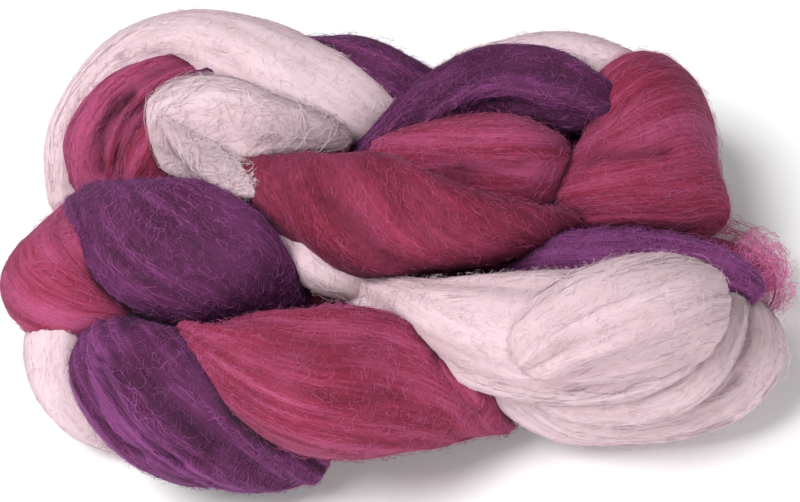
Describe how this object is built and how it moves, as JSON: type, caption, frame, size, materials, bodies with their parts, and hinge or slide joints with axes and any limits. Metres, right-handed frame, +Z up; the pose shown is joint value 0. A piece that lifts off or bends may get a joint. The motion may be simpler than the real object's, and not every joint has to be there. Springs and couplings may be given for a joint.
{
  "type": "wool roving",
  "caption": "Hank of combed wool roving: pink, raspberry and purple slivers twisted into a rope and laid up in runs, with fluffy loose ends.",
  "frame": {"origin": "middle of the footprint's bounding box, on the surface that the hank rests on", "axes": "+X along the runs, towards the end with the wispy raspberry tuft; +Y away from the front run towards the back run; +Z up"},
  "size_m": [0.2371, 0.1635, 0.0728],
  "materials": {
    "raspberry_wool": "matt, fluffy",
    "pink_wool": "matt, fluffy"
  },
  "bodies": {
    "root": {"roving_hank": "raspberry_wool", "pink_loose_end": "pink_wool", "raspberry_loose_end": "raspberry_wool"}
  },
  "joints": []
}
